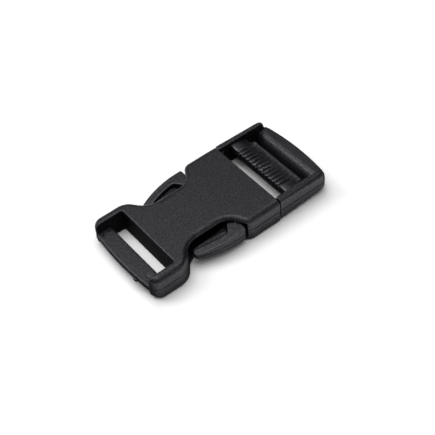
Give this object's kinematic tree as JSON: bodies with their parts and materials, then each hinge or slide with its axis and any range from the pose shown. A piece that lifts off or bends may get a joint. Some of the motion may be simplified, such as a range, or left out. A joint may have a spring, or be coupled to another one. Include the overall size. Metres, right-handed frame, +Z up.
{
  "type": "side release buckle",
  "caption": "Black moulded side release buckle for 25 mm webbing, with a fixed strap loop, a toothed adjuster bar and squeeze-release arms.",
  "frame": {"origin": "on the resting plane and the centreline, at the mouth of the socket", "axes": "+X from the socket towards the plug's end bar, +Y to the left, +Z up out of the upper face"},
  "size_m": [0.0682, 0.0318, 0.0085],
  "materials": {
    "socket_plastic": "fine matt grain on the upper and lower faces, smoother rounded edges",
    "plug_plastic": "fine matt grain, polished strap-bar edges",
    "arm_plastic": "fine matt grain with light thumb wear"
  },
  "bodies": {
    "socket": {"socket_body": "socket_plastic", "socket_strap_bar": "socket_plastic"},
    "plug": {"plug_frame": "plug_plastic", "ladder_bar": "plug_plastic", "plug_end_bar": "plug_plastic", "centre_guide": "plug_plastic", "left_spring_beam": "arm_plastic", "right_spring_beam": "arm_plastic"},
    "left_arm": {"left_release_arm": "arm_plastic"},
    "right_arm": {"right_release_arm": "arm_plastic"}
  },
  "joints": [
    {"name": "plug_slide", "type": "slide", "parent": "socket", "child": "plug", "axis": [1, 0, 0], "range_m": [0, 0.04], "deforming": ["left_release_arm", "right_release_arm"]},
    {"name": "left_arm_flex", "type": "hinge", "parent": "plug", "child": "left_arm", "pos_m": [-0.00652, 0.00996, 0.00425], "axis": [0, 0, 1], "range_deg": [0, 15], "deforming": ["left_spring_beam"]},
    {"name": "right_arm_flex", "type": "hinge", "parent": "plug", "child": "right_arm", "pos_m": [-0.00652, -0.00996, 0.00425], "axis": [0, 0, -1], "range_deg": [0, 15], "deforming": ["right_spring_beam"]}
  ]
}
